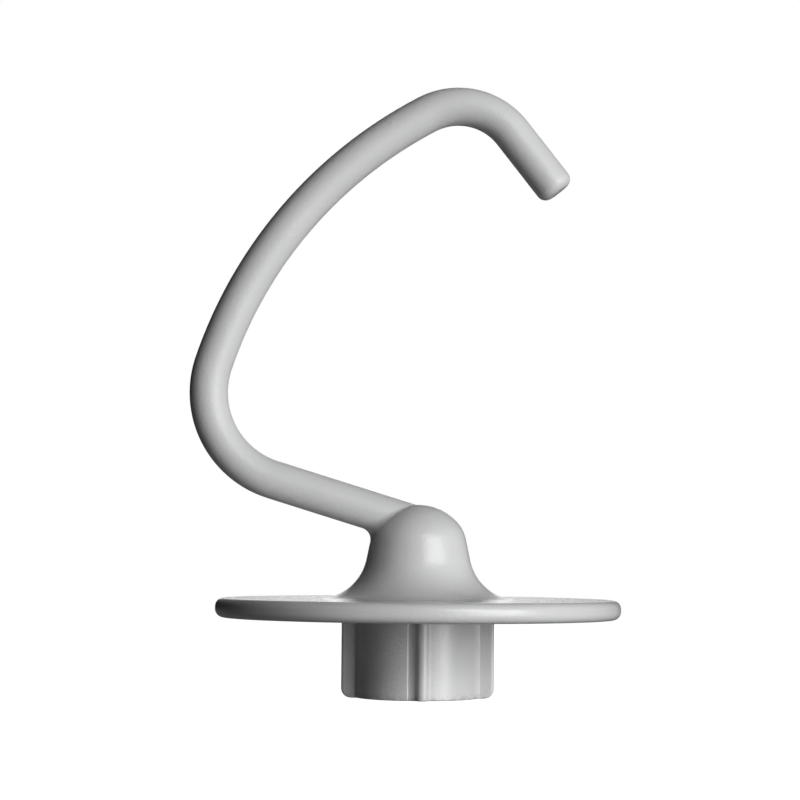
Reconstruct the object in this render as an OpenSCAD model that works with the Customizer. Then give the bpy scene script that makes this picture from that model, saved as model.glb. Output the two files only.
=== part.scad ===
// Coated C-shaped dough hook for a tilt-head stand mixer.
// The hook stands on the mouth of its drive socket. The origin is the centre
// of that mouth, +Z runs up the socket's axis, and the hook lies in the XZ
// plane with its back towards -X. All sizes are in millimetres.

/* [Hook bar] */
// Outer diameter of the coated bar
bar_d = 9.4; // [8.6:0.1:10]
// Height at which the arm's centreline crosses the socket's axis
arm_z = 41.6; // [41:0.1:42.2]
// Angle by which the arm rises from the dome
arm_rise = 17.1; // [15:0.1:19]
// Length of the straight arm, from the axis to the heel
arm_len = 37.4; // [34:0.1:40]
// Centreline radius of the heel
heel_r = 22.5; // [20:0.1:25]
// Centreline radius of the long back
back_r = 108.5; // [100:0.5:115]
// Centreline radius of the bend at the top
top_r = 16.7; // [15:0.1:19]
// Length of the straight tip
tip_len = 18.8; // [12:0.1:24]
// Radius of the rounded edge round the tip's end face
tip_edge_r = 2.4; // [1.6:0.1:3]
// Length of the bar's root past the axis, inside the dome
root_len = 5.5; // [3:0.5:6.5]

/* [Dome and shield disc] */
// Top of the dome
dome_top = 46.75; // [46.6:0.05:47.2]
// Radius of the dome's crown
crown_r = 12.75; // [12.4:0.05:13]
// Radius between the crown and the dome's side
shoulder_r = 8; // [7.5:0.1:8.4]
// Diameter of the dome half-way up its side
side_d = 24.2; // [23.8:0.1:24.6]
// Angle by which the dome's side leans in
side_lean = 11.5; // [10.5:0.1:12.5]
// Radius of the flare that runs out onto the disc
flare_r = 12; // [10:0.5:12.5]
// Diameter of the shield disc
disc_d = 98.5; // [90:0.5:104]
// Height of the disc's upper face
disc_top = 23.8; // [23:0.1:24.4]
// Thickness of the disc
disc_t = 4.65; // [4.4:0.05:5]
// Radius of the disc's rounded rim edges
rim_r = 2; // [1.2:0.1:2.1]

/* [Drive hub] */
// Outer diameter of the collar
collar_d = 30.5; // [30:0.1:31.5]
// Distance across the two side lugs
lug_span = 36.9; // [36:0.1:38]
// Thickness of each side lug
lug_w = 8; // [6:0.5:10]
// Radius of each lug's lower outer corner
lug_corner_r = 2.4; // [1.5:0.1:3]
// Radius of the fillet under the disc
root_fillet_r = 1.2; // [0.8:0.1:1.6]
// Radius of the index rib that marks the pin slot
rib_r = 1.5; // [1.2:0.1:1.7]
// Height of the index rib above the collar
rib_h = 1.3; // [1:0.1:1.5]

/* [Socket] */
// Diameter of the bore for the mixer's drive shaft
bore_d = 14.5; // [14.4:0.05:14.7]
// Depth of the bore
bore_depth = 31; // [28:0.5:32]
// Length of the cross pin that the slots clear, end to end
pin_span = 26; // [25:0.2:26.4]
// Width of the slots that the cross pin slides up
slot_w = 5.4; // [5:0.1:5.8]
// Height to which the slots reach
slot_top = 13; // [12:0.1:14]
// Angle through which the hook turns to lock
lock_turn = 75; // [72:1:80]
// Depth of the seat that the pin drops into when locked
lock_drop = 1.2; // [0.8:0.1:1.6]

/* [Coating] */
// Thickness of the nylon coating
coat_t = 0.4; // [0.3:0.05:0.5]

/* [Hidden] */
$fn = 96;

// How far a cutting shape runs past what it cuts
over = 1;

// Height at which side_d is measured
side_z = 36;

// Angles through which the heel, the back and the top bend turn. They are fixed,
// because at many other angles the bar's lengths no longer join into one solid.
heel_turn = 90.89;
back_turn = 43.806;
top_turn = 80.182;

// Ring grooves round the bar's root
groove_count = 2;
groove_start = 1;
groove_w = 1.6;
groove_depth = 0.6;
groove_pitch = 2.6;

// Angle from the pin slot's middle to the index rib
rib_turn = 4;

coat_colour = [0.66, 0.67, 0.68];
metal_colour = [0.78, 0.79, 0.8];

// The bar's radius over its coating and under it
skin_r = bar_d / 2;
core_r = skin_r - coat_t;

// Where the arm starts, and its heading in the XZ plane, anticlockwise from +X
arm_start = [0, arm_z];
arm_heading = 180 - arm_rise;

// Unit vector on a heading
function along(heading) = [cos(heading), sin(heading)];

// The dome's outline, as centres [radius, z]. Each round runs into the next by
// blend, so that their outlines cross instead of only touching.
blend = 0.01;
disc_bottom = disc_top - disc_t;
crown_z = dome_top - crown_r;
side_out = [cos(side_lean), sin(side_lean)];
side_offset = side_d / 2 * side_out.x + side_z * side_out.y;
shoulder_gap = crown_r - shoulder_r + blend;
shoulder_reach = side_offset - shoulder_r - crown_z * side_out.y;
shoulder_tilt = asin(shoulder_reach / shoulder_gap) - side_lean;
shoulder_centre = [0, crown_z] + shoulder_gap * [sin(shoulder_tilt), cos(shoulder_tilt)];
flare_z = disc_top + flare_r - blend;
flare_centre = [(side_offset + flare_r - flare_z * side_out.y) / side_out.x, flare_z];

// Places one length of bar so that it leaves a centreline point on a heading
module from_point(point, heading)
  translate([point.x, 0, point.y])
    rotate([0, 90 - heading, 0])
      children();

// The straight arm at radius r, from the axis to the heel
module arm(r)
  from_point(arm_start, arm_heading)
    cylinder(h = arm_len, r = r);

// A bend from the origin that turns from +Z towards +X, then what follows it.
// It is hollow where bore is over 0.
module bend(bend_r, turn, r, bore)
  translate([bend_r, 0, 0]) {
    rotate([90, 0, 180])
      rotate_extrude(angle = turn)
        translate([bend_r, 0])
          difference() {
            circle(r);
            if (bore > 0)
              circle(bore);
          }
    rotate([0, turn, 0])
      translate([-bend_r, 0, 0])
        children();
  }

// Heel, long back and top bend, one after the other, then what follows them
module bends(r, bore = 0)
  from_point(arm_start, arm_heading)
    translate([0, 0, arm_len])
      bend(heel_r, heel_turn, r, bore)
        bend(back_r, back_turn, r, bore)
          bend(top_r, top_turn, r, bore)
            children();

// Half section of the tip with its rounded edge, set in by inset
module tip_section(inset) {
  r = skin_r - inset;
  edge_r = tip_edge_r - inset;
  length = tip_len - inset;
  square([r - edge_r, length]);
  square([r, length - edge_r]);
  intersection() {
    translate([r - edge_r, length - edge_r])
      circle(edge_r);
    square([r, length]);
  }
}

// Turns a tip section about +Z, with its seam on the outer side like a bend's
module tip()
  rotate(180)
    rotate_extrude()
      children();

// The bar's root past the axis, with ring grooves that the casting fills
module bar_root()
  from_point(arm_start, arm_heading)
    translate([0, 0, -root_len])
      difference() {
        cylinder(h = root_len, r = core_r);
        for (i = [0 : groove_count - 1])
          translate([0, 0, groove_start + i * groove_pitch])
            difference() {
              cylinder(h = groove_w, r = core_r + over);
              cylinder(h = groove_w, r = core_r - groove_depth);
            }
      }

// Half section of the dome, set in by inset from the coated surface
module dome_section(inset) {
  intersection() {
    translate([0, crown_z])
      circle(crown_r - inset);
    translate([0, disc_top])
      square([(crown_r - inset) * sin(shoulder_tilt), dome_top]);
  }
  intersection() {
    translate(shoulder_centre)
      circle(shoulder_r - inset);
    translate([0, disc_top])
      square([crown_r, dome_top]);
  }
  difference() {
    polygon([
      [0, disc_bottom + inset],
      [0, crown_z],
      shoulder_centre,
      shoulder_centre + (shoulder_r - inset - blend) * side_out,
      flare_centre - (flare_r + inset - blend) * side_out,
      [flare_centre.x, disc_top - inset],
      [flare_centre.x, disc_bottom + inset]
    ]);
    translate(flare_centre)
      circle(flare_r + inset);
  }
}

// Half section of the shield disc with its rounded rim
module disc_section(inset) {
  r = disc_d / 2 - inset;
  edge = rim_r - inset;
  translate([0, disc_bottom + inset])
    square([r - edge, disc_t - 2 * inset]);
  translate([0, disc_bottom + rim_r])
    square([r, disc_t - 2 * rim_r]);
  for (z = [disc_bottom + rim_r, disc_top - rim_r])
    translate([r - edge, z])
      circle(edge);
}

// Half section of the collar with the fillet that runs out under the disc
module collar_section(inset) {
  square([collar_d / 2 - inset, disc_bottom + disc_t / 2]);
  difference() {
    translate([0, disc_bottom - root_fillet_r])
      square([collar_d / 2 + root_fillet_r, root_fillet_r + disc_t / 2]);
    translate([collar_d / 2 + root_fillet_r, disc_bottom - root_fillet_r])
      circle(root_fillet_r + inset);
  }
}

// Places an outline at both index ribs, sideways from the rib by offset_x
module at_ribs(offset_x, offset_r)
  for (turn = [0, 180])
    rotate(turn + rib_turn)
      translate([offset_x, -collar_d / 2 - rib_h + offset_r])
        children();

// One side lug, a plate in the hook's plane with a rounded lower corner
module side_lug(inset) {
  reach = lug_span / 2 - inset;
  corner = lug_corner_r - inset;
  translate([0, lug_w / 2 - inset, 0])
    rotate([90, 0, 0])
      linear_extrude(lug_w - 2 * inset) {
        translate([0, inset])
          square([reach - corner, disc_bottom]);
        translate([0, lug_corner_r])
          square([reach, disc_bottom - lug_corner_r + inset]);
        translate([reach - corner, lug_corner_r])
          circle(corner);
      }
}

// The whole hub without its socket, set in by inset from the coated surface
module hub_form(inset) {
  difference() {
    rotate_extrude() {
      dome_section(inset);
      disc_section(inset);
      collar_section(inset);
    }
    translate([0, 0, -over])
      linear_extrude(disc_bottom + inset + over)
        at_ribs(-2 * rib_r, rib_r / 2)
          circle(rib_r + inset);
  }
  linear_extrude(disc_bottom + disc_t / 2)
    at_ribs(0, rib_r)
      circle(rib_r - inset);
  for (turn = [0, 180])
    rotate(turn)
      side_lug(inset);
}

// Space that the cross pin fills at one angle, from z_low to slot_top
module pin_slot(turn, z_low)
  rotate(turn)
    translate([-slot_w / 2, -pin_span / 2, z_low])
      cube([slot_w, pin_span, slot_top - z_low]);

// The blind bore, the entry slots and the pocket that the pin turns into
module socket() {
  pocket_z = slot_top - slot_w;
  reach = pin_span;
  translate([0, 0, -over])
    cylinder(h = bore_depth + over, d = bore_d);
  intersection() {
    translate([0, 0, -over])
      cylinder(h = slot_top + over, d = pin_span);
    union() {
      pin_slot(0, -over);
      pin_slot(lock_turn, pocket_z - lock_drop);
      for (side = [0, 180])
        rotate(side)
          translate([0, 0, pocket_z])
            linear_extrude(slot_w)
              polygon([
                [0, 0],
                [slot_w / 2, -reach],
                reach * along(lock_turn / 2 - 90),
                reach * along(lock_turn - 90)
              ]);
    }
  }
}

// The bent bar under the coating
module hook_bar()
  color(metal_colour) {
    bar_root();
    arm(core_r);
    bends(core_r)
      tip()
        tip_section(coat_t);
  }

// Dome, shield disc and drive socket, cast in one round the bar's root
module hub_casting()
  color(metal_colour)
    difference() {
      hub_form(coat_t);
      socket();
      arm(core_r);
      bar_root();
    }

// One continuous film over the bar and the casting, open at the socket's end
module nylon_coating()
  color(coat_colour) {
    difference() {
      union() {
        arm(skin_r);
        hub_form(0);
      }
      arm(core_r);
      hub_form(coat_t);
    }
    bends(skin_r, core_r)
      tip()
        difference() {
          tip_section(0);
          tip_section(coat_t);
        }
  }

hook_bar();
hub_casting();
nylon_coating();
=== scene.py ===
"""Dough hook for a stand mixer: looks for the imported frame."""
import math

import bmesh
import bpy
import numpy as np
from mathutils import Matrix, Vector


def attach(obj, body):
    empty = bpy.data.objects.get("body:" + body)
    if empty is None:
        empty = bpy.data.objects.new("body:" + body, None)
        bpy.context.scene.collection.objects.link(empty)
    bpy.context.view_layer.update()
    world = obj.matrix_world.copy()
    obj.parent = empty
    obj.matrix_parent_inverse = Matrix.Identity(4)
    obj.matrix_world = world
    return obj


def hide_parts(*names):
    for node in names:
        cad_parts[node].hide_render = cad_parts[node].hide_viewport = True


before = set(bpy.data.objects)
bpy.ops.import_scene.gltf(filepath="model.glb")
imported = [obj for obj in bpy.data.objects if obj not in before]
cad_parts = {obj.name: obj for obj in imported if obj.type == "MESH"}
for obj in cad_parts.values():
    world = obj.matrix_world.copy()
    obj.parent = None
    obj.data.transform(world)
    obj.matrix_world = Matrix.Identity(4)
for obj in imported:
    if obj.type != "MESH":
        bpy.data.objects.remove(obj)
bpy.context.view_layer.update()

MM = 0.001

# ---------------------------------------------------- sizes, mm and degrees
COAT_T = 0.4

# the bar over its coating; each bend is a centreline radius and an angle
BAR_R = 4.7
ARM_Z = 41.6
ARM_RISE = 17.1
ARM_LEN = 37.4
BENDS = ((22.5, 90.89), (108.5, 43.806), (16.7, 80.182))
TIP_LEN = 18.8
TIP_EDGE_R = 2.4

# the bar's rows begin this far along the arm; the finer ones by the dome end short of them
JOIN_T = 19.0
JOIN_GAP = 1.2

# numbers of rows on each straight and each bend, and the radii of those on the end face
STRAIGHT_ROWS = 9
BEND_ROWS = (34, 44, 24)
TIP_FACE_ROWS = (1.6, 0.8)

# dome and disc; SIDE_R is the radius of the dome's side at the height SIDE_Z
DOME_TOP = 46.75
CROWN_R = 12.75
SHOULDER_R = 8.0
SIDE_LEAN = 11.5
SIDE_R = 12.1
SIDE_Z = 36
FLARE_R = 12.0
DISC_R = 49.25
DISC_TOP = 23.8
DISC_BOTTOM = 19.15
RIM_R = 2.0

# the disc's rows end at the first radius on its underside, and finer ones begin at the second
UNDER_R = 24.0
UNDER_FINE_R = 23.0

# collar, lugs and index ribs; the last are RIB_TURN round from the pin slots
COLLAR_R = 15.25
LUG_REACH = 18.45
LUG_HALF_W = 4.0
LUG_CORNER_R = 2.4
LUG_EDGE_R = 0.7
RIB_R = 1.5
RIB_OUT = 16.55
RIB_TURN = 4.0

# the hollow beside each rib: a step down, then a ramp back up to the collar
HOLLOW_TURN = 13.2
HOLLOW_FLOOR = 14.1
HOLLOW_RAMP = 0.48
HOLLOW_START = 3.4
HOLLOW_SPAN = 4

# blends where the hollow, the ribs and the lugs meet the collar
HOLLOW_BLEND = 0.15
RIB_BLEND = 0.35
LUG_BLEND = 0.25

# fillet under the disc, rounded lip, and the heights of the collar's rows
FOOT_FILLET = 1.3
LIP_R = 0.3
COLLAR_ROWS = (16.5, 13.5, 10.5, 7.5, 5.0, 3.4, 2.4, 1.9, 1.5, 1.15, 0.85, 0.6, 0.42, LIP_R)

# the outline is looked for between this radius and UNDER_R. Its points are spread by
# length, plus MM_PER_RADIAN for each radian that it turns, blurred over BLUR samples
OUTLINE_MIN_R = 10.0
OUTLINE_SAMPLES = 14401
MM_PER_RADIAN = 0.9
BLUR = 20

# rolling-ball fillet between arm and dome, above and below the arm, and how far out it can lie
JOINT_FILLET_TOP = 1.3
JOINT_FILLET_LOW = 2.8
JOINT_REACH = 24.0

# points round the dome and the arm's root
ROUND = 160

# the dome's rows are circles from this share of its side on, and the first EASE_ROWS of them
# bring their points to even angles
RING_SHARE = 0.62
EASE_ROWS = 20


def unit(v):
    return v / np.linalg.norm(v, axis=-1, keepdims=True)


def circle_dir(degrees):
    a = np.radians(degrees)
    return np.stack([np.cos(a), np.sin(a)], axis=-1)


# ------------------------------------------------------ outline of the dome
def dome_outline():
    """Centres (r, z) of crown, shoulder and flare, the side's outward way, the crown's angle."""
    lean = circle_dir(SIDE_LEAN)
    side_offset = SIDE_R * lean[0] + SIDE_Z * lean[1]
    crown_z = DOME_TOP - CROWN_R
    reach = (side_offset - SHOULDER_R - crown_z * lean[1]) / (CROWN_R - SHOULDER_R)
    tilt = math.degrees(math.asin(reach)) - SIDE_LEAN
    crown_c = np.array([0, crown_z])
    shoulder_c = crown_c + (CROWN_R - SHOULDER_R) * circle_dir(90 - tilt)
    flare_z = DISC_TOP + FLARE_R
    flare_c = np.array([(side_offset + FLARE_R - flare_z * lean[1]) / lean[0], flare_z])
    return crown_c, shoulder_c, flare_c, lean, tilt


CROWN_C, SHOULDER_C, FLARE_C, LEAN, TILT = dome_outline()
SIDE_TOP = SHOULDER_C + SHOULDER_R * LEAN
SIDE_END = FLARE_C - FLARE_R * LEAN

# lengths along the outline, from the apex down
CROWN_LEN = math.radians(TILT) * CROWN_R
SHOULDER_LEN = math.radians(90 - TILT - SIDE_LEAN) * SHOULDER_R
SIDE_LEN = np.linalg.norm(SIDE_END - SIDE_TOP)
FLARE_LEN = math.radians(90 - SIDE_LEAN) * FLARE_R
RING_S = CROWN_LEN + SHOULDER_LEN + RING_SHARE * SIDE_LEN
FLARE_END_S = CROWN_LEN + SHOULDER_LEN + SIDE_LEN + FLARE_LEN


def dome_at(s):
    """(r, z) at distance s from the apex along the dome's outline."""
    s = np.asarray(s, float)
    crown = CROWN_C + CROWN_R * circle_dir(90 - np.degrees(s / CROWN_R))
    a = s - CROWN_LEN
    shoulder = SHOULDER_C + SHOULDER_R * circle_dir(90 - TILT - np.degrees(a / SHOULDER_R))
    b = a - SHOULDER_LEN
    side = SIDE_TOP + (SIDE_END - SIDE_TOP) * (b / SIDE_LEN)[..., None]
    c = b - SIDE_LEN
    flare = FLARE_C - FLARE_R * circle_dir(SIDE_LEAN + np.degrees(c / FLARE_R))
    out = np.where((a > 0)[..., None], shoulder, crown)
    out = np.where((b > 0)[..., None], side, out)
    return np.where((c > 0)[..., None], flare, out)


def dome_near(r, z):
    """Signed distance to crown, shoulder and side, and the nearest point's place along them."""
    p = np.stack([r, z], axis=-1)
    from_crown = p - CROWN_C
    crown_angle = np.arctan2(from_crown[..., 0], from_crown[..., 1])
    crown_d = np.linalg.norm(from_crown, axis=-1) - CROWN_R
    crown_s = crown_angle * CROWN_R

    from_shoulder = p - SHOULDER_C
    shoulder_angle = np.arctan2(from_shoulder[..., 0], from_shoulder[..., 1])
    shoulder_d = np.linalg.norm(from_shoulder, axis=-1) - SHOULDER_R
    shoulder_s = CROWN_LEN + (shoulder_angle - math.radians(TILT)) * SHOULDER_R

    from_side = p - SIDE_TOP
    side_d = from_side @ LEAN
    side_s = CROWN_LEN + SHOULDER_LEN + from_side @ np.array([LEAN[1], -LEAN[0]])

    in_crown = crown_angle <= math.radians(TILT)
    in_shoulder = shoulder_angle <= math.radians(90 - SIDE_LEAN)
    d = np.where(in_crown, crown_d, np.where(in_shoulder, shoulder_d, side_d))
    s = np.where(in_crown, crown_s, np.where(in_shoulder, shoulder_s, side_s))
    return d, s


def on_dome(s, theta):
    """The point at s along the dome's outline and angle theta round its axis."""
    rz = dome_at(s)
    return np.stack([rz[..., 0] * np.cos(theta), rz[..., 0] * np.sin(theta), rz[..., 1]], axis=-1)


# ------------------------------------------------------------ the bar's axis
def bar_axis():
    """Stations along the bar after the junction: centre (x, z), heading in degrees."""
    heading = 180 - ARM_RISE
    p = np.array([0, ARM_Z]) + JOIN_T * circle_dir(heading)
    stations = [(p, heading)]

    def straight(length, steps):
        nonlocal p
        for _ in range(steps):
            p = p + length / steps * circle_dir(heading)
            stations.append((p, heading))

    straight(ARM_LEN - JOIN_T, STRAIGHT_ROWS)
    for (r, turn), steps in zip(BENDS, BEND_ROWS):
        centre = p + r * circle_dir(heading - 90)
        for i in range(1, steps + 1):
            h = heading - turn * i / steps
            stations.append((centre - r * circle_dir(h - 90), h))
        p, heading = stations[-1]
    straight(TIP_LEN - TIP_EDGE_R, STRAIGHT_ROWS)
    return stations


class Skin:
    """Closed rows of points, joined into faces."""

    def __init__(self):
        self.points = []
        self.faces = []
        self.count = 0

    def add(self, pts):
        """Adds points and returns their numbers."""
        ids = np.arange(self.count, self.count + len(pts))
        self.points.append(np.asarray(pts, float))
        self.count += len(pts)
        return ids

    def loft(self, a, b):
        """Quads between two rows of the same count."""
        a2, b2 = np.roll(a, -1), np.roll(b, -1)
        self.faces += np.stack([a, a2, b2, b], axis=1).tolist()

    def halve(self, a, b):
        """Five-sided faces between a row and one of half its count."""
        n = len(b)
        for i in range(n):
            j = 2 * i
            self.faces.append([a[j], a[j + 1], a[(j + 2) % (2 * n)], b[(i + 1) % n], b[i]])

    def run(self, last, rows):
        """Adds rows, each joined to the one before it, and returns the last one's numbers."""
        for pts in rows:
            row = self.add(pts)
            self.loft(row, last)
            last = row
        return last

    def cap(self, a, point):
        """A fan from the last row to one point."""
        tip = self.add([point])[0]
        a2 = np.roll(a, -1)
        self.faces += [[int(i), int(j), int(tip)] for i, j in zip(a, a2)]


# ----------------------------------------------------- junction arm and dome
# the arm's start on the axis, its direction, and the directions up and sideways from it
RISE_COS, RISE_SIN = circle_dir(ARM_RISE)
ARM_D = np.array([-RISE_COS, 0, RISE_SIN])
ARM_N = np.array([RISE_SIN, 0, RISE_COS])
ARM_0 = np.array([0, 0, ARM_Z])
EY = np.array([0, 1.0, 0])


def beside_arm(t, phi, r):
    """The point at angle phi and radius r round the arm, t along it from the axis."""
    out = np.cos(phi)[:, None] * ARM_N + np.sin(phi)[:, None] * EY
    return ARM_0 + t[:, None] * ARM_D + np.asarray(r)[..., None] * out


def junction(phi):
    """The rolling ball at each angle round the arm.

    Gives its centre, how far along the arm it touches, and where on the dome (s, theta).
    """
    low = 0.5 - 0.5 * np.cos(phi)
    rho = JOINT_FILLET_TOP + (JOINT_FILLET_LOW - JOINT_FILLET_TOP) * low
    lo, hi = np.zeros_like(phi), np.full_like(phi, JOINT_REACH)
    for _ in range(50):
        t = (lo + hi) / 2
        centre = beside_arm(t, phi, BAR_R + rho)
        d, s = dome_near(np.hypot(centre[:, 0], centre[:, 1]), centre[:, 2])
        far = d > rho
        hi, lo = np.where(far, t, hi), np.where(far, lo, t)
    return centre, t, s, np.arctan2(centre[:, 1], centre[:, 0])


def arc_rows(centre, a, b, count):
    """Rows on the arcs round centre from a to b, without either end."""
    u, v = a - centre, b - centre
    r = np.linalg.norm(u, axis=-1, keepdims=True)
    u, v = unit(u), unit(v)
    w = np.arccos(np.clip((u * v).sum(-1, keepdims=True), -1, 1))
    w = np.maximum(w, 1e-6)
    return [
        centre + r * (np.sin((1 - k) * w) * u + np.sin(k * w) * v) / np.sin(w)
        for k in np.linspace(0, 1, count + 2)[1:-1]
    ]


# ------------------------------------------------------------ collar outline
def soft_union(a, b, k):
    h = np.maximum(k - np.abs(a - b), 0) / k
    return np.minimum(a, b) - h * h * k / 4


def soft_cut(a, b, k):
    return -soft_union(-a, b, k)


def plan(x, y, reach):
    """Signed distance to the collar's outline in plan, with lugs as long as reach."""
    d = np.hypot(x, y) - COLLAR_R
    turn = math.radians(RIB_TURN)
    for side in (1, -1):
        # rx runs across the rib and -ry outwards along it
        rx = side * (x * math.cos(turn) + y * math.sin(turn))
        ry = side * (-x * math.sin(turn) + y * math.cos(turn))
        step = np.hypot(x, y) * (np.arctan2(-rx, -ry) - math.radians(HOLLOW_TURN))
        ramp = HOLLOW_FLOOR + HOLLOW_RAMP * (rx + HOLLOW_START) + ry
        ramp = ramp / math.hypot(1, HOLLOW_RAMP)
        within = np.abs(rx + HOLLOW_SPAN / 2) - HOLLOW_SPAN / 2
        d = soft_cut(d, np.maximum(np.maximum(step, ramp), within), HOLLOW_BLEND)
        rib = np.hypot(rx, ry + RIB_OUT - RIB_R) - RIB_R
        d = soft_union(d, rib, RIB_BLEND)
    qx = np.abs(x) - (reach - LUG_EDGE_R)
    qy = np.abs(y) - (LUG_HALF_W - LUG_EDGE_R)
    lug = np.hypot(np.maximum(qx, 0), np.maximum(qy, 0)) + np.minimum(np.maximum(qx, qy), 0)
    return soft_union(d, lug - LUG_EDGE_R, LUG_BLEND)


def outline(theta, reach, offset):
    """Radius of the outline at each angle, offset outwards."""
    lo, hi = np.full_like(theta, OUTLINE_MIN_R), np.full_like(theta, UNDER_R)
    for _ in range(44):
        r = (lo + hi) / 2
        out = plan(r * np.cos(theta), r * np.sin(theta), reach) > offset
        hi, lo = np.where(out, r, hi), np.where(out, lo, r)
    return (lo + hi) / 2


def collar_angles(count):
    """Angles round the collar, closer together where its outline turns."""
    fine = np.linspace(-math.pi, math.pi, OUTLINE_SAMPLES)
    r = outline(fine, LUG_REACH, 0.0)
    p = np.stack([r * np.cos(fine), r * np.sin(fine)], axis=-1)
    step = np.diff(p, axis=0)
    distance = np.linalg.norm(step, axis=1)
    heading = np.unwrap(np.arctan2(step[:, 1], step[:, 0]))
    bend = np.abs(np.diff(heading, append=heading[-1]))
    weight = distance + MM_PER_RADIAN * bend
    blur = np.ones(2 * BLUR + 1) / (2 * BLUR + 1)
    weight = np.convolve(np.concatenate([weight[-BLUR:], weight, weight[:BLUR]]), blur, "valid")
    total = np.concatenate([[0], np.cumsum(weight)])
    want = np.linspace(0, total[-1], count + 1)[:-1]
    return np.interp(want, total, fine)


def angles_from(start, turn, count):
    """The collar's angles, the way turn goes round, from the one nearest to start."""
    theta = collar_angles(count)
    if turn < 0:
        theta = theta[::-1]
    nearest = np.argmin(np.abs(np.angle(np.exp(1j * (theta - start)))))
    theta = np.unwrap(np.roll(theta, -nearest))
    return theta + 2 * math.pi * np.round((start - theta[0]) / (2 * math.pi))


def collar_reach(z):
    """How far the lugs reach out at height z, with their rounded lower corner."""
    drop = np.clip(LUG_CORNER_R - z, 0, LUG_CORNER_R)
    return LUG_REACH - LUG_CORNER_R + math.sqrt(max(LUG_CORNER_R ** 2 - drop ** 2, 0))


def collar_row(theta, z, offset):
    """The collar's outline at height z, offset outwards."""
    r = outline(theta, collar_reach(z), offset)
    return np.stack([r * np.cos(theta), r * np.sin(theta), np.full_like(r, z)], axis=-1)


# ------------------------------------------------------------------- surface
def bar_ring(centre, heading, r, phi):
    """A row round the bar, at centre (x, z) and square to its heading."""
    across = circle_dir(heading - 90)
    n = np.array([across[0], 0, across[1]])
    mid = np.array([centre[0], 0, centre[1]])
    return mid + r * (np.cos(phi)[:, None] * n + np.sin(phi)[:, None] * EY)


def add_bar(skin, phi):
    """The bar from the junction's side to the middle of its end face. Returns its first row."""
    stations = bar_axis()
    rows = [skin.add(bar_ring(p, h, BAR_R, phi)) for p, h in stations]
    for a, b in zip(rows[:-1], rows[1:]):
        skin.loft(a, b)
    end_c, end_h = stations[-1]
    ahead = circle_dir(end_h)
    face_c = end_c + TIP_EDGE_R * ahead
    rings = []
    for a in np.linspace(0, 1, 9)[1:] * math.pi / 2:
        out = BAR_R - TIP_EDGE_R + TIP_EDGE_R * math.cos(a)
        rings.append((end_c + TIP_EDGE_R * math.sin(a) * ahead, out))
    rings += [(face_c, r) for r in TIP_FACE_ROWS]
    last = rows[-1]
    for centre, r in rings:
        row = skin.add(bar_ring(centre, end_h, r, phi))
        skin.loft(last, row)
        last = row
    skin.cap(last, [face_c[0], 0, face_c[1]])
    return rows[0]


def add_arm(skin, phi, t_fillet, first):
    """The arm from the bar's first row to the fillet, twice as fine round. Returns its last row."""
    rows = []
    for k in (1 - np.linspace(0, 1, 13)) ** 1.3:
        t = t_fillet + (JOIN_T - JOIN_GAP - t_fillet) * k
        rows.append(skin.add(beside_arm(t, phi, BAR_R)))
    skin.halve(rows[0], first)
    for a, b in zip(rows[:-1], rows[1:]):
        skin.loft(b, a)
    return rows[-1]


def add_dome(skin, last, s, theta):
    """The dome from the fillet out to a circle below it, in the flat chart (s, theta).

    Returns its last row and that row's angles round the axis.
    """
    inner = np.stack([s * np.cos(theta), s * np.sin(theta)], axis=-1)
    mid = np.array([(inner[:, 0].min() + inner[:, 0].max()) / 2, 0])
    ray = unit(inner - mid)
    b = ray @ mid
    reach = -b + np.sqrt(b * b - mid @ mid + RING_S ** 2)
    rim = mid + reach[:, None] * ray
    rows = []
    for k in np.linspace(0, 1, 23)[1:] ** 1.15:
        xy = inner * (1 - k) + rim * k
        rows.append(on_dome(np.hypot(xy[:, 0], xy[:, 1]), np.arctan2(xy[:, 1], xy[:, 0])))
    return skin.run(last, rows), np.unwrap(np.arctan2(rim[:, 1], rim[:, 0]))


def disc_profile():
    """(r, z) from the dome's side down the flare, over the disc and in along its underside."""
    profile = [dome_at(s) for s in np.linspace(RING_S, FLARE_END_S, 30)[1:]]
    edge = DISC_R - RIM_R
    profile += [np.array([r, DISC_TOP]) for r in np.linspace(FLARE_C[0], edge, 9)[1:]]
    for a in np.linspace(90, 0, 10)[1:]:
        profile.append(np.array([edge, DISC_TOP - RIM_R]) + RIM_R * circle_dir(a))
    for a in np.linspace(0, -90, 10):
        profile.append(np.array([edge, DISC_BOTTOM + RIM_R]) + RIM_R * circle_dir(a))
    profile += [np.array([r, DISC_BOTTOM]) for r in np.linspace(edge, UNDER_R, 8)[1:]]
    return profile


def add_disc(skin, last, th_ring, th_even):
    """Turned rows down to the disc's underside, whose angles ease from th_ring to th_even."""
    rows = []
    for i, (r, z) in enumerate(disc_profile()):
        mix = min(1, (i + 1) / EASE_ROWS)
        mix = mix * mix * (3 - 2 * mix)
        th = th_ring * (1 - mix) + th_even * mix
        rows.append(np.stack([r * np.cos(th), r * np.sin(th), np.full_like(th, z)], axis=-1))
    return skin.run(last, rows)


def add_underside(skin, last, th_wide, th_collar):
    """The disc's underside, twice as fine round, in to the collar's fillet."""
    wide = UNDER_FINE_R * np.stack([np.cos(th_wide), np.sin(th_wide)], axis=-1)
    wide = np.column_stack([wide, np.full_like(th_wide, DISC_BOTTOM)])
    foot = collar_row(th_collar, DISC_BOTTOM, FOOT_FILLET)
    row = skin.add(wide)
    skin.halve(row, last)
    return skin.run(row, [wide * (1 - k) + foot * k for k in (0.3, 0.55, 0.75, 0.9, 1.0)])


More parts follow.
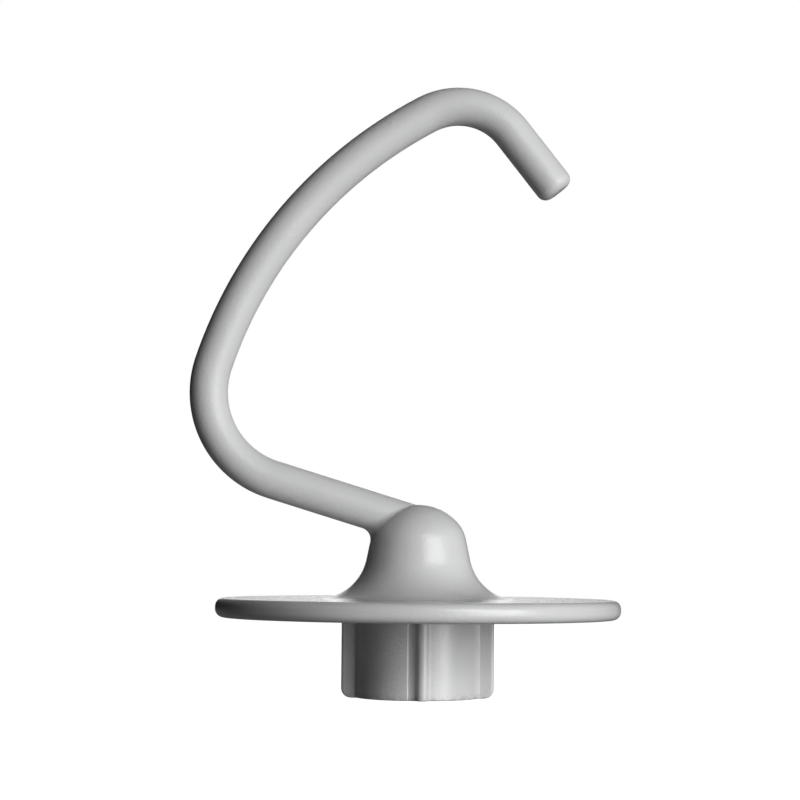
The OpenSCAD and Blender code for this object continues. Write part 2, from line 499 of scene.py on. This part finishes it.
def add_collar(skin, last, th_collar):
    """Fillet, collar and lip. Returns its rows below the fillet, each with its height."""
    fillet = []
    for a in np.linspace(0, 90, 8)[1:]:
        h = FOOT_FILLET * math.sin(math.radians(a))
        inward = math.sqrt(max(FOOT_FILLET ** 2 - (FOOT_FILLET - h) ** 2, 0))
        fillet.append((DISC_BOTTOM - h, FOOT_FILLET - inward))
    straight = [(z, 0.0) for z in COLLAR_ROWS]
    for a in np.radians(np.linspace(0, 90, 6)[1:]):
        straight.append((LIP_R - LIP_R * math.sin(a), LIP_R * math.cos(a) - LIP_R))
    last = skin.run(last, [collar_row(th_collar, z, offset) for z, offset in fillet])
    below = []
    for z, offset in straight:
        last = skin.run(last, [collar_row(th_collar, z, offset)])
        below.append((last, z))
    return below


def build_coating():
    """The nylon film: an outer skin, and the same rows further in by its thickness."""
    skin = Skin()

    # arm, junction and dome share these angles, anticlockwise seen from the arm's far end
    phi = np.linspace(0, 2 * math.pi, ROUND, endpoint=False)
    centre, t_arm, s_dome, th_dome = junction(phi)
    first = add_bar(skin, phi[::2])
    last = add_arm(skin, phi, t_arm, first)
    touch_arm = beside_arm(t_arm, phi, BAR_R)
    touch_dome = on_dome(s_dome, th_dome)
    last = skin.run(last, arc_rows(centre, touch_arm, touch_dome, 9) + [touch_dome])
    last, th_ring = add_dome(skin, last, s_dome, th_dome)

    turn = np.sign(th_ring[-1] - th_ring[0])
    th_even = th_ring[0] + turn * phi
    last = add_disc(skin, last, th_ring, th_even)
    th_wide = th_even[0] + turn * np.linspace(0, 2 * math.pi, 2 * ROUND, endpoint=False)
    th_collar = angles_from(th_even[0], turn, 2 * ROUND)
    last = add_underside(skin, last, th_wide, th_collar)
    below = add_collar(skin, last, th_collar)

    # inner side, square to the outer one, and drawn from the outline itself at the collar
    points = np.concatenate(skin.points)
    inside = points - COAT_T * vertex_normals(points, skin.faces)
    for row, z in below:
        inside[row] = collar_row(th_collar, z, -COAT_T)
    n = len(points)
    faces = skin.faces + [[v + n for v in reversed(f)] for f in skin.faces]
    a, a2 = below[-1][0], np.roll(below[-1][0], -1)
    faces += np.stack([a, a + n, a2 + n, a2], axis=1).tolist()
    return np.concatenate([points, inside]) * MM, faces


def vertex_normals(points, faces):
    """Normals at the points, each face counting by its area."""
    normals = np.zeros_like(points)
    by_size = {}
    for f in faces:
        by_size.setdefault(len(f), []).append(f)
    for size, group in by_size.items():
        f = np.array(group)
        a = points[f[:, 0]]
        total = np.zeros((len(f), 3))
        for i in range(1, size - 1):
            total += np.cross(points[f[:, i]] - a, points[f[:, i + 1]] - a)
        for i in range(size):
            np.add.at(normals, f[:, i], total)
    return unit(normals)


def mesh_object(name, points, faces):
    mesh = bpy.data.meshes.new(name)
    mesh.from_pydata(points.tolist(), [], faces)
    mesh.validate()
    mesh.polygons.foreach_set("use_smooth", [True] * len(mesh.polygons))
    mesh.update()
    obj = bpy.data.objects.new(name, mesh)
    bpy.context.scene.collection.objects.link(obj)
    return obj


points, faces = build_coating()
coating = mesh_object("nylon_coating_skin", points, faces)


# ----------------------------------------------------------------- materials
COAT_DARK = (0.585, 0.588, 0.592)
COAT_LIGHT = (0.615, 0.617, 0.62)
COAT_SPECK = (0.47, 0.47, 0.47, 1)
# grey of the blotchy darker band at the foot of the lip
COAT_FOOT_DARK = (0.36, 0.36, 0.36, 1)
COAT_ROUGH = 0.31
COAT_ROUGH_SPREAD = 0.025
COAT_IOR = 1.5
METAL_DARK = (0.56, 0.57, 0.58)
METAL_LIGHT = (0.72, 0.73, 0.74)
FLOOR_DARK = (0.5, 0.5, 0.5)
FLOOR_LIGHT = (0.52, 0.52, 0.52)
FLOOR_GLOW = 0.95

# where most of a noise's values lie
MIDDLE = (0.3, 0.7)

# depths of the bumps, in metres
PEEL_DEPTH = 0.00004
GRAIN_DEPTH = 0.00005
CAST_DEPTH = 0.00001
MARK_DEPTH = 0.000006

# heights in metres: the darker band at the foot of the lip ends at the first, the rougher bar
# begins between the others
FOOT_DARK_TOP = 0.0016
BAR_FROM = 0.05
BAR_FULL = 0.06


def new_material(name):
    mat = bpy.data.materials.new(name)
    mat.use_nodes = True
    return mat, mat.node_tree, mat.node_tree.nodes["Principled BSDF"]


def add_node(tree, kind, settings=None, **inputs):
    """A node with its options, and its inputs as values or as links from other nodes' outputs."""
    made = tree.nodes.new(kind)
    for key, value in (settings or {}).items():
        setattr(made, key, value)
    for key, value in inputs.items():
        socket = made.inputs[int(key[1:])] if key[0] == "_" else made.inputs[key]
        if isinstance(value, bpy.types.NodeSocket):
            tree.links.new(value, socket)
        else:
            socket.default_value = value
    return made


def noise(tree, where, scale, detail=2.0, rough=0.5):
    """Fractal noise in object space, scale in features per metre."""
    inputs = {"Vector": where, "Scale": scale, "Detail": detail, "Roughness": rough}
    return add_node(tree, "ShaderNodeTexNoise", **inputs).outputs["Fac"]


def remap(tree, value, low, high, to_low, to_high):
    """A value from the range low to high, carried over to the range to_low to to_high."""
    ends = {"From Min": low, "From Max": high, "To Min": to_low, "To Max": to_high}
    return add_node(tree, "ShaderNodeMapRange", Value=value, **ends).outputs["Result"]


def arithmetic(tree, operation, a, b):
    return add_node(tree, "ShaderNodeMath", {"operation": operation}, _0=a, _1=b).outputs[0]


def length(tree, vector):
    settings = {"operation": "LENGTH"}
    return add_node(tree, "ShaderNodeVectorMath", settings, _0=vector).outputs["Value"]


def blend(tree, fac, a, b):
    """A colour between a and b, which are four numbers or an output each."""
    return add_node(tree, "ShaderNodeMix", {"data_type": "RGBA"}, _0=fac, _6=a, _7=b).outputs[2]


def shade(tree, value, dark, light):
    """A colour that goes from dark to light with a noise."""
    return blend(tree, value, (*dark, 1), (*light, 1))


def bump(tree, height, depth, under=None):
    """Bumps as deep as depth, on top of the normals of another bump if under is given."""
    made = add_node(tree, "ShaderNodeBump", Height=height, Strength=1.0, Distance=depth)
    if under is not None:
        tree.links.new(under, made.inputs["Normal"])
    return made.outputs["Normal"]


def coating_material():
    """Satin nylon: orange peel, fine powder grain, faint clouding, and a blotchy darker band at the
    foot of the lip.
    """
    mat, tree, bsdf = new_material("nylon_coating")
    where = add_node(tree, "ShaderNodeTexCoord").outputs["Object"]
    height = add_node(tree, "ShaderNodeSeparateXYZ", Vector=where).outputs["Z"]

    clouds = noise(tree, where, 55, 3)
    colour = shade(tree, remap(tree, clouds, *MIDDLE, 0, 1), COAT_DARK, COAT_LIGHT)
    specks = noise(tree, where, 2600, 1)
    colour = blend(tree, remap(tree, specks, 0.68, 0.78, 0, 0.35), colour, COAT_SPECK)

    # the lowest part of the lip, where the hook stands on the floor, is darker in blotches and
    # rougher
    foot_mottle = noise(tree, where, 700, 4, 0.7)
    near_foot = remap(tree, height, 0, FOOT_DARK_TOP, 1, 0)
    foot_dark = arithmetic(tree, "MULTIPLY", near_foot, remap(tree, foot_mottle, 0.42, 0.6, 0, 0.8))
    tree.links.new(blend(tree, foot_dark, colour, COAT_FOOT_DARK), bsdf.inputs["Base Color"])

    # a satin film mirrors more sharply the flatter it is seen, and the bar's is rougher
    uneven = (COAT_ROUGH - COAT_ROUGH_SPREAD, COAT_ROUGH + COAT_ROUGH_SPREAD)
    satin = remap(tree, noise(tree, where, 140, 4), *MIDDLE, *uneven)
    facing = add_node(tree, "ShaderNodeLayerWeight", Blend=0.5).outputs["Facing"]
    satin = arithmetic(tree, "MULTIPLY", satin, remap(tree, facing, 0.75, 0.98, 1, 0.3))
    satin = arithmetic(tree, "ADD", satin, remap(tree, height, BAR_FROM, BAR_FULL, 0, 0.14))
    rough = arithmetic(tree, "ADD", satin, arithmetic(tree, "MULTIPLY", foot_dark, 0.2))
    tree.links.new(rough, bsdf.inputs["Roughness"])

    peel = bump(tree, noise(tree, where, 900, 2), PEEL_DEPTH)
    grain = bump(tree, noise(tree, where, 2200, 2), GRAIN_DEPTH, under=peel)
    tree.links.new(grain, bsdf.inputs["Normal"])
    bsdf.inputs["IOR"].default_value = COAT_IOR
    return mat


def metal_material():
    """Cast aluminium, with turning marks round the axis in the bore and on the end face."""
    mat, tree, bsdf = new_material("bare_aluminium")
    where = add_node(tree, "ShaderNodeTexCoord").outputs["Object"]
    parts = add_node(tree, "ShaderNodeSeparateXYZ", Vector=where).outputs
    flat = add_node(tree, "ShaderNodeCombineXYZ", X=parts["X"], Y=parts["Y"]).outputs[0]
    section = add_node(tree, "ShaderNodeCombineXYZ", X=length(tree, flat), Y=parts["Z"]).outputs[0]
    marks = noise(tree, section, 5200, 3, 0.7)
    blotches = noise(tree, where, 180, 4, 0.6)
    colour = shade(tree, remap(tree, blotches, *MIDDLE, 0, 1), METAL_DARK, METAL_LIGHT)
    tree.links.new(colour, bsdf.inputs["Base Color"])
    marked = remap(tree, marks, *MIDDLE, 0.24, 0.4)
    rough = arithmetic(tree, "ADD", marked, remap(tree, blotches, 0.5, 0.75, 0, 0.12))
    tree.links.new(rough, bsdf.inputs["Roughness"])
    cast = bump(tree, noise(tree, where, 900, 3), CAST_DEPTH)
    tree.links.new(bump(tree, marks, MARK_DEPTH, under=cast), bsdf.inputs["Normal"])
    bsdf.inputs["Metallic"].default_value = 1
    return mat


coat = coating_material()
metal = metal_material()
coating.data.materials.append(coat)
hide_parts("nylon_coating")
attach(coating, "root")
for name in ("hook_bar", "hub_casting"):
    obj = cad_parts[name]
    for slot in obj.material_slots:
        slot.material = metal
    if not obj.material_slots:
        obj.data.materials.append(metal)


# --------------------------------------------------------------------- stage
# sizes in metres; the floor thins out between the two radii after its own
FLOOR_R = 0.9
FLOOR_SOLID_R = 0.12
FLOOR_CLEAR_R = 0.72
BACKDROP_R = 4.0
AIM = Vector((0, 0, 0.06))
LIGHT_DISTANCE = 1.3
BOUNCE_Z = -0.002


def stage_mesh(name, build):
    mesh = bpy.data.meshes.new(name)
    bm = bmesh.new()
    build(bm)
    bm.to_mesh(mesh)
    bm.free()
    obj = bpy.data.objects.new(name, mesh)
    bpy.context.scene.collection.objects.link(obj)
    return obj


def floor_material():
    """Matt floor, lifted to white, that thins out to nothing at its rim and from below."""
    mat, tree, bsdf = new_material("pale_floor")
    where = add_node(tree, "ShaderNodeTexCoord").outputs["Object"]
    fade = remap(tree, length(tree, where), FLOOR_SOLID_R, FLOOR_CLEAR_R, 0, 1)
    below = add_node(tree, "ShaderNodeNewGeometry").outputs["Backfacing"]
    clear = add_node(tree, "ShaderNodeBsdfTransparent").outputs[0]
    gone = arithmetic(tree, "MAXIMUM", fade, below)
    paint = shade(tree, noise(tree, where, 30, 3), FLOOR_DARK, FLOOR_LIGHT)
    tree.links.new(paint, bsdf.inputs["Base Color"])
    bsdf.inputs["Roughness"].default_value = 0.9
    bsdf.inputs["Specular IOR Level"].default_value = 0.0
    bsdf.inputs["Emission Color"].default_value = (1, 1, 1, 1)
    bsdf.inputs["Emission Strength"].default_value = FLOOR_GLOW
    mix = add_node(tree, "ShaderNodeMixShader", _0=gone, _1=bsdf.outputs[0], _2=clear)
    tree.links.new(mix.outputs[0], tree.nodes["Material Output"].inputs["Surface"])
    return mat


def backdrop_material():
    mat = bpy.data.materials.new("white_backdrop")
    mat.use_nodes = True
    tree = mat.node_tree
    tree.nodes.clear()
    glow = add_node(tree, "ShaderNodeEmission", Color=(1, 1, 1, 1), Strength=1.0)
    out = tree.nodes.new("ShaderNodeOutputMaterial")
    tree.links.new(glow.outputs[0], out.inputs["Surface"])
    return mat


def build_floor(bm):
    bmesh.ops.create_circle(bm, cap_ends=True, radius=FLOOR_R, segments=96)


def build_backdrop(bm):
    bmesh.ops.create_uvsphere(bm, u_segments=48, v_segments=24, radius=BACKDROP_R)


floor = stage_mesh("floor", build_floor)
floor.data.materials.append(floor_material())
backdrop = stage_mesh("backdrop", build_backdrop)
backdrop.data.materials.append(backdrop_material())
for obj in (floor, backdrop):
    obj.visible_diffuse = False
    obj.visible_glossy = False
    obj.visible_shadow = False


def softbox(name, azimuth, elevation, width, height, power):
    """An area light that faces the object, in degrees, metres and watts.

    Azimuth 0 is in front of the object, and grows towards +X.
    """
    data = bpy.data.lights.new(name, "AREA")
    data.shape = "ELLIPSE"
    data.size = width
    data.size_y = height
    data.energy = power
    light = bpy.data.objects.new(name, data)
    a, e = math.radians(azimuth), math.radians(elevation)
    out = Vector((math.sin(a) * math.cos(e), -math.cos(a) * math.cos(e), math.sin(e)))
    light.location = AIM + LIGHT_DISTANCE * out
    light.rotation_euler = (-out).to_track_quat("-Z", "Y").to_euler()
    light.visible_camera = False
    bpy.context.scene.collection.objects.link(light)
    return light


softbox("key", 50, 6, 0.5, 0.9, 10.4)
softbox("key_core", 50, 6, 0.25, 0.5, 1.3)
softbox("key_side", 30, 6, 0.4, 0.9, 4.1)
softbox("key_top", 28, 24, 0.5, 0.42, 4.0)
softbox("back_low", 180, 3, 0.5, 0.16, 0.22)
softbox("back_high", 180, 10, 0.5, 0.25, 0.3)

# lights the back softly, without a reflection along the edges seen from in front
rear = softbox("rear", 180, 25, 0.7, 1.0, 9.0)
rear.visible_glossy = False

# what a pale table would send back up, kept weak so that the hub stays as dark as it is
bounce = softbox("table_bounce", 0, -90, 1.4, 1.4, 0.4)
bounce.location = (0, 0, BOUNCE_Z)

world = bpy.data.worlds.new("studio")
bpy.context.scene.world = world
world.use_nodes = True
world.node_tree.nodes["Background"].inputs["Color"].default_value = (1, 1, 1, 1)
world.node_tree.nodes["Background"].inputs["Strength"].default_value = 0.0
bpy.context.scene.view_settings.view_transform = "Standard"

# -------------------------------------------------------------------- camera
# place in mm, then degrees: how far it looks up, and how far it leans
CAMERA_AT = Vector((-4.75, -550.1, 34.2))
CAMERA_UP = 3.966
CAMERA_LEAN = 0.45
LENS = 101.25
SENSOR = 36

cam_data = bpy.data.cameras.new("camera")
cam_data.lens = LENS
cam_data.sensor_width = SENSOR
cam_data.clip_start = 0.01
cam = bpy.data.objects.new("camera", cam_data)
bpy.context.scene.collection.objects.link(cam)
cam.matrix_world = (
    Matrix.Translation(CAMERA_AT * MM)
    @ Matrix.Rotation(math.radians(90 + CAMERA_UP), 4, "X")
    @ Matrix.Rotation(math.radians(CAMERA_LEAN), 4, "Z")
)
bpy.context.scene.camera = cam
